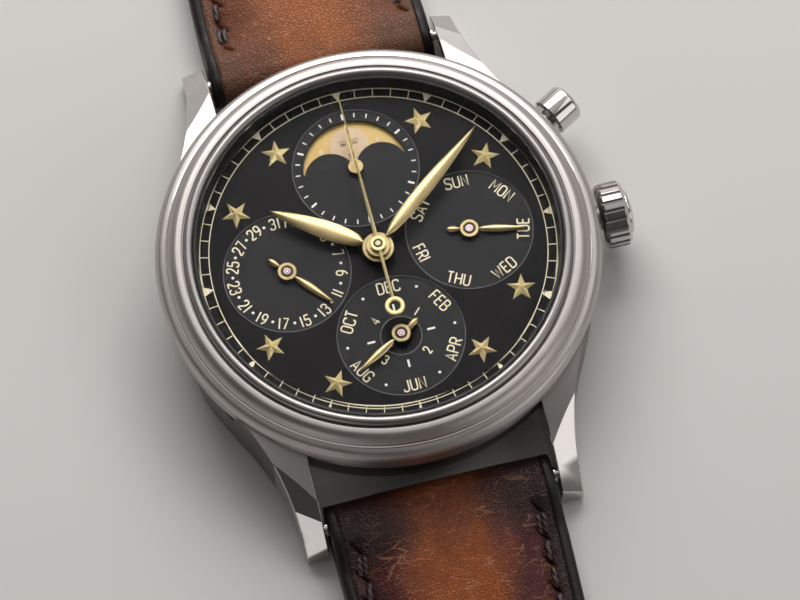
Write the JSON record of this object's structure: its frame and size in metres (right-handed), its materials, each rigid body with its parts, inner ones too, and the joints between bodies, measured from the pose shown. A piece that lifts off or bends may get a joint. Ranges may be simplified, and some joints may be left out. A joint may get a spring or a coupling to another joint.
{
  "type": "perpetual calendar watch",
  "caption": "Round steel wristwatch with perpetual calendar subdials, moon phase, chronograph pusher, display back and an open leather strap with a tang buckle.",
  "frame": {"origin": "middle of the case back's flat outer face", "axes": "+Z out of the dial, +Y to 12 o'clock, +X to the crown at 3 o'clock"},
  "size_m": [0.0457, 0.244, 0.0125],
  "materials": {
    "satin_steel": "circular satin brushing",
    "polished_steel": "mirror polish",
    "dark_rehaut": "matt black lacquer",
    "sapphire": "clear, anti-reflection coated",
    "seal_rubber": "matt",
    "dial_black": "satin black with grey recessed subdials",
    "pale_gold": "polished pale gold plate",
    "brass": "gilt, fine matt",
    "rhodium": "rhodium plate with straight ribbing",
    "blued_steel": "heat blued, polished",
    "ruby": "polished synthetic ruby",
    "moon_gold": "gold disc with pale moons and stars",
    "leather": "hand patinated calf, tan middle and dark burgundy edges"
  },
  "bodies": {
    "case": {"mid_case": "satin_steel", "bezel": "satin_steel", "crystal": "sapphire", "gaskets": "seal_rubber", "rehaut": "dark_rehaut", "case_back": "satin_steel", "back_crystal": "sapphire", "back_screws": "polished_steel", "case_tubes": "satin_steel", "movement_ring": "brass", "dial": "dial_black", "star_markers": "pale_gold", "main_plate": "brass", "calendar_plate": "rhodium", "barrel_bridge": "rhodium", "train_bridge": "rhodium", "balance_cock": "rhodium", "movement_screws": "blued_steel", "jewels": "ruby", "spring_bars": "polished_steel"},
    "crown_seal": {"crown_gasket": "seal_rubber"},
    "crown": {"crown": "polished_steel", "winding_stem": "polished_steel"},
    "winding_pinion": {"winding_pinion": "polished_steel"},
    "crown_wheel": {"crown_wheel": "polished_steel"},
    "ratchet": {"ratchet_wheel": "polished_steel"},
    "barrel": {"barrel": "brass"},
    "centre_wheel": {"centre_wheel": "brass"},
    "third_wheel": {"third_wheel": "brass"},
    "fourth_wheel": {"fourth_wheel": "brass"},
    "escape_wheel": {"escape_wheel": "polished_steel"},
    "pallet_fork": {"pallet_fork": "polished_steel"},
    "balance": {"balance_wheel": "pale_gold", "hairspring": "blued_steel"},
    "minute": {"cannon_pinion": "polished_steel", "minute_hand": "pale_gold"},
    "minute_wheel": {"minute_wheel": "brass"},
    "hour": {"hour_wheel": "brass", "hour_hand": "pale_gold"},
    "chronograph": {"chrono_wheel": "brass", "seconds_hand": "pale_gold"},
    "counter": {"counter_hand": "pale_gold"},
    "column_wheel": {"column_wheel": "polished_steel"},
    "date": {"date_wheel": "brass", "date_hand": "pale_gold"},
    "day": {"day_wheel": "brass", "day_hand": "pale_gold"},
    "month": {"month_wheel": "brass", "month_hand": "pale_gold"},
    "leap_year": {"leap_year_hand": "pale_gold"},
    "moon": {"moon_disc": "moon_gold"},
    "pusher": {"pusher": "polished_steel", "pusher_spring": "polished_steel"},
    "corrector_date": {"corrector_date": "polished_steel"},
    "corrector_day": {"corrector_day": "polished_steel"},
    "strap_12": {"strap_12": "leather"},
    "strap_6": {"strap_6": "leather"},
    "buckle": {"buckle_frame": "polished_steel"},
    "tongue": {"buckle_tongue": "polished_steel"},
    "keeper": {"free_keeper": "leather"}
  },
  "joints": [
    {"name": "crown_pull", "type": "slide", "parent": "case", "child": "crown_seal", "axis": [1, 0, 0], "range_m": [0, 0.0009]},
    {"name": "crown_turn", "type": "hinge", "parent": "crown_seal", "child": "crown", "pos_m": [0.021, 0, 0.00445], "axis": [1, 0, 0], "continuous": true},
    {"name": "winding_pinion_turn", "type": "hinge", "parent": "case", "child": "winding_pinion", "pos_m": [0.012, 0, 0.00445], "axis": [1, 0, 0], "continuous": true},
    {"name": "crown_wheel_turn", "type": "hinge", "parent": "case", "child": "crown_wheel", "pos_m": [0.0101, 0.00096, 0.0016], "axis": [0, 0, 1], "continuous": true},
    {"name": "ratchet_turn", "type": "hinge", "parent": "case", "child": "ratchet", "pos_m": [0.0055, 0.00495, 0.0016], "axis": [0, 0, 1], "continuous": true},
    {"name": "barrel_turn", "type": "hinge", "parent": "case", "child": "barrel", "pos_m": [0.0055, 0.00495, 0.00265], "axis": [0, 0, 1], "continuous": true},
    {"name": "centre_turn", "type": "hinge", "parent": "case", "child": "centre_wheel", "pos_m": [0, 0, 0.00265], "axis": [0, 0, 1], "continuous": true},
    {"name": "third_turn", "type": "hinge", "parent": "case", "child": "third_wheel", "pos_m": [-0.00455, -0.00165, 0.00265], "axis": [0, 0, 1], "continuous": true},
    {"name": "fourth_turn", "type": "hinge", "parent": "case", "child": "fourth_wheel", "pos_m": [-0.00594, -0.00549, 0.00265], "axis": [0, 0, 1], "continuous": true},
    {"name": "escape_turn", "type": "hinge", "parent": "case", "child": "escape_wheel", "pos_m": [-0.00382, -0.00802, 0.00265], "axis": [0, 0, 1], "continuous": true},
    {"name": "fork_swing", "type": "hinge", "parent": "case", "child": "pallet_fork", "pos_m": [-0.00145, -0.00865, 0.00385], "axis": [0, 0, 1], "range_deg": [-5, 5]},
    {"name": "balance_swing", "type": "hinge", "parent": "case", "child": "balance", "pos_m": [0.0026, -0.0089, 0.0016], "axis": [0, 0, 1], "range_deg": [-270, 270], "stiffness_Nm_per_rad": 0.00000006, "deforming": ["hairspring"]},
    {"name": "minute_turn", "type": "hinge", "parent": "case", "child": "minute", "pos_m": [0, 0, 0.00505], "axis": [0, 0, 1], "continuous": true},
    {"name": "minute_wheel_turn", "type": "hinge", "parent": "case", "child": "minute_wheel", "pos_m": [0.00344, -0.00161, 0.00505], "axis": [0, 0, 1], "continuous": true},
    {"name": "hour_turn", "type": "hinge", "parent": "case", "child": "hour", "pos_m": [0, 0, 0.00505], "axis": [0, 0, 1], "continuous": true},
    {"name": "seconds_turn", "type": "hinge", "parent": "case", "child": "chronograph", "pos_m": [0, 0, 0.0016], "axis": [0, 0, 1], "continuous": true},
    {"name": "counter_turn", "type": "hinge", "parent": "case", "child": "counter", "pos_m": [0, 0.0088, 0.0016], "axis": [0, 0, 1], "continuous": true},
    {"name": "column_turn", "type": "hinge", "parent": "case", "child": "column_wheel", "pos_m": [0.0108, 0.00599, 0.0016], "axis": [0, 0, 1], "continuous": true},
    {"name": "date_turn", "type": "hinge", "parent": "case", "child": "date", "pos_m": [-0.0088, 0, 0.0086], "axis": [0, 0, 1], "continuous": true},
    {"name": "day_turn", "type": "hinge", "parent": "case", "child": "day", "pos_m": [0.0088, 0, 0.0086], "axis": [0, 0, 1], "continuous": true},
    {"name": "month_turn", "type": "hinge", "parent": "case", "child": "month", "pos_m": [0, -0.0088, 0.0086], "axis": [0, 0, 1], "continuous": true},
    {"name": "leap_year_turn", "type": "hinge", "parent": "case", "child": "leap_year", "pos_m": [0, -0.0088, 0.0086], "axis": [0, 0, 1], "continuous": true},
    {"name": "moon_turn", "type": "hinge", "parent": "case", "child": "moon", "pos_m": [0, 0.0088, 0.0086], "axis": [0, 0, 1], "continuous": true},
    {"name": "pusher_press", "type": "slide", "parent": "case", "child": "pusher", "axis": [-0.866, -0.5, 0], "range_m": [0, 0.0008], "stiffness_N_per_m": 2500, "springref_m": -0.0004, "deforming": ["pusher_spring"]},
    {"name": "corrector_date_press", "type": "slide", "parent": "case", "child": "corrector_date", "axis": [-0.8771, 0.4802, 0], "range_m": [0, 0.0004], "stiffness_N_per_m": 1500, "springref_m": -0.0002},
    {"name": "corrector_day_press", "type": "slide", "parent": "case", "child": "corrector_day", "axis": [-0.7694, 0.6388, 0], "range_m": [0, 0.0004], "stiffness_N_per_m": 1500, "springref_m": -0.0002},
    {"name": "strap_12_hinge", "type": "hinge", "parent": "case", "child": "strap_12", "pos_m": [0, 0.02335, 0.0023], "axis": [1, 0, 0], "range_deg": [-75, 50]},
    {"name": "strap_6_hinge", "type": "hinge", "parent": "case", "child": "strap_6", "pos_m": [0, -0.02335, 0.0023], "axis": [-1, 0, 0], "range_deg": [-75, 50]},
    {"name": "buckle_hinge", "type": "hinge", "parent": "strap_12", "child": "buckle", "pos_m": [0, 0.09535, 0.0023], "axis": [1, 0, 0], "range_deg": [-50, 50]},
    {"name": "tongue_hinge", "type": "hinge", "parent": "buckle", "child": "tongue", "pos_m": [0, 0.09535, 0.0023], "axis": [1, 0, 0], "range_deg": [0, 78]},
    {"name": "keeper_slide", "type": "slide", "parent": "strap_12", "child": "keeper", "axis": [0, -1, 0], "range_m": [0, 0.008]}
  ],
  "couplings": [
    {"joint": "winding_pinion_turn", "follows": "crown_turn", "ratio": 1},
    {"joint": "crown_wheel_turn", "follows": "crown_turn", "ratio": 0.51852},
    {"joint": "ratchet_turn", "follows": "crown_turn", "ratio": -0.29167},
    {"joint": "third_turn", "follows": "fourth_turn", "ratio": -0.13333},
    {"joint": "centre_turn", "follows": "fourth_turn", "ratio": 0.016667},
    {"joint": "barrel_turn", "follows": "fourth_turn", "ratio": -0.0033333},
    {"joint": "escape_turn", "follows": "fourth_turn", "ratio": -10},
    {"joint": "minute_wheel_turn", "follows": "minute_turn", "ratio": -0.33333},
    {"joint": "hour_turn", "follows": "minute_turn", "ratio": 0.083333},
    {"joint": "counter_turn", "follows": "seconds_turn", "ratio": 0.033333},
    {"joint": "leap_year_turn", "follows": "month_turn", "ratio": 0.25}
  ]
}
